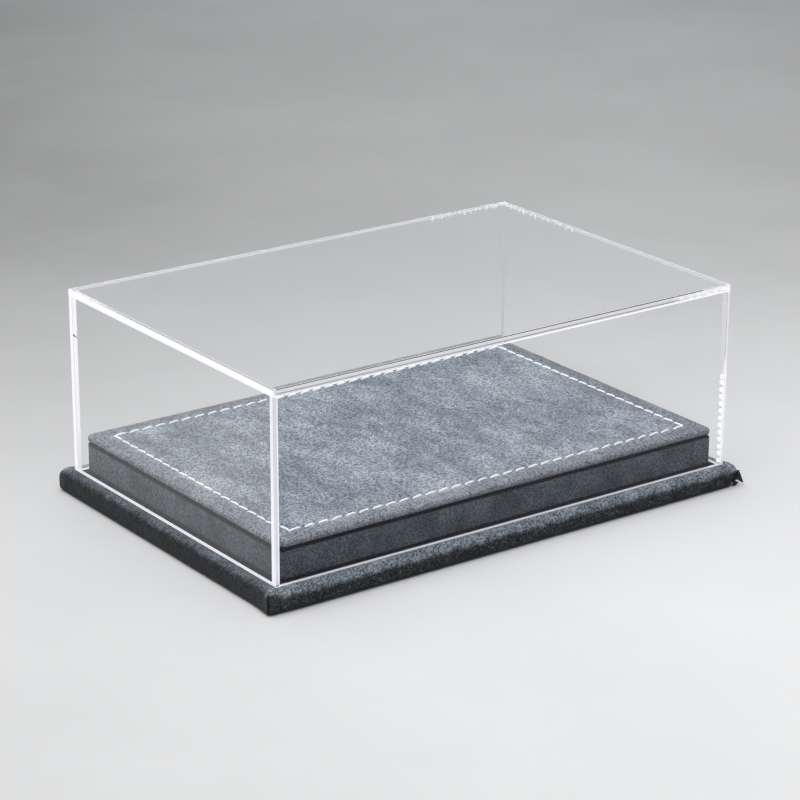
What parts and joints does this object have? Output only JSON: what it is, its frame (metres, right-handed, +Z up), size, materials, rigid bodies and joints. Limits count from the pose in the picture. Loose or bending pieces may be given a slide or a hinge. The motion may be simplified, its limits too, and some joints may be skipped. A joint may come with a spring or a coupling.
{
  "type": "display case",
  "caption": "Clear lift-off acrylic cover over a leather-wrapped base with a raised, stitched display panel.",
  "frame": {"origin": "middle of the plinth's underside", "axes": "+X along the case's long side, -Y out of its long front side, +Z up"},
  "size_m": [0.2624, 0.18, 0.0991],
  "materials": {
    "acrylic": "clear, polished",
    "dark_leather": "matte, fine grain",
    "grey_leather": "matte, mottled",
    "fibreboard": "raw fibreboard",
    "felt": "napped",
    "screw_steel": "zinc plated",
    "thread": "waxed thread"
  },
  "bodies": {
    "base": {"plinth_board": "fibreboard", "plinth_leather": "dark_leather", "underside_liner": "felt", "riser_board": "fibreboard", "riser_band": "dark_leather", "riser_screws": "screw_steel", "panel_board": "fibreboard", "panel_leather": "grey_leather", "panel_thread": "thread"},
    "cover": {"cover_top_panel": "acrylic", "cover_front_panel": "acrylic", "cover_back_panel": "acrylic", "cover_left_panel": "acrylic", "cover_right_panel": "acrylic"}
  },
  "joints": [
    {"name": "cover_lift", "type": "slide", "parent": "base", "child": "cover", "axis": [0, 0, 1], "range_m": [0, 0.11]}
  ]
}
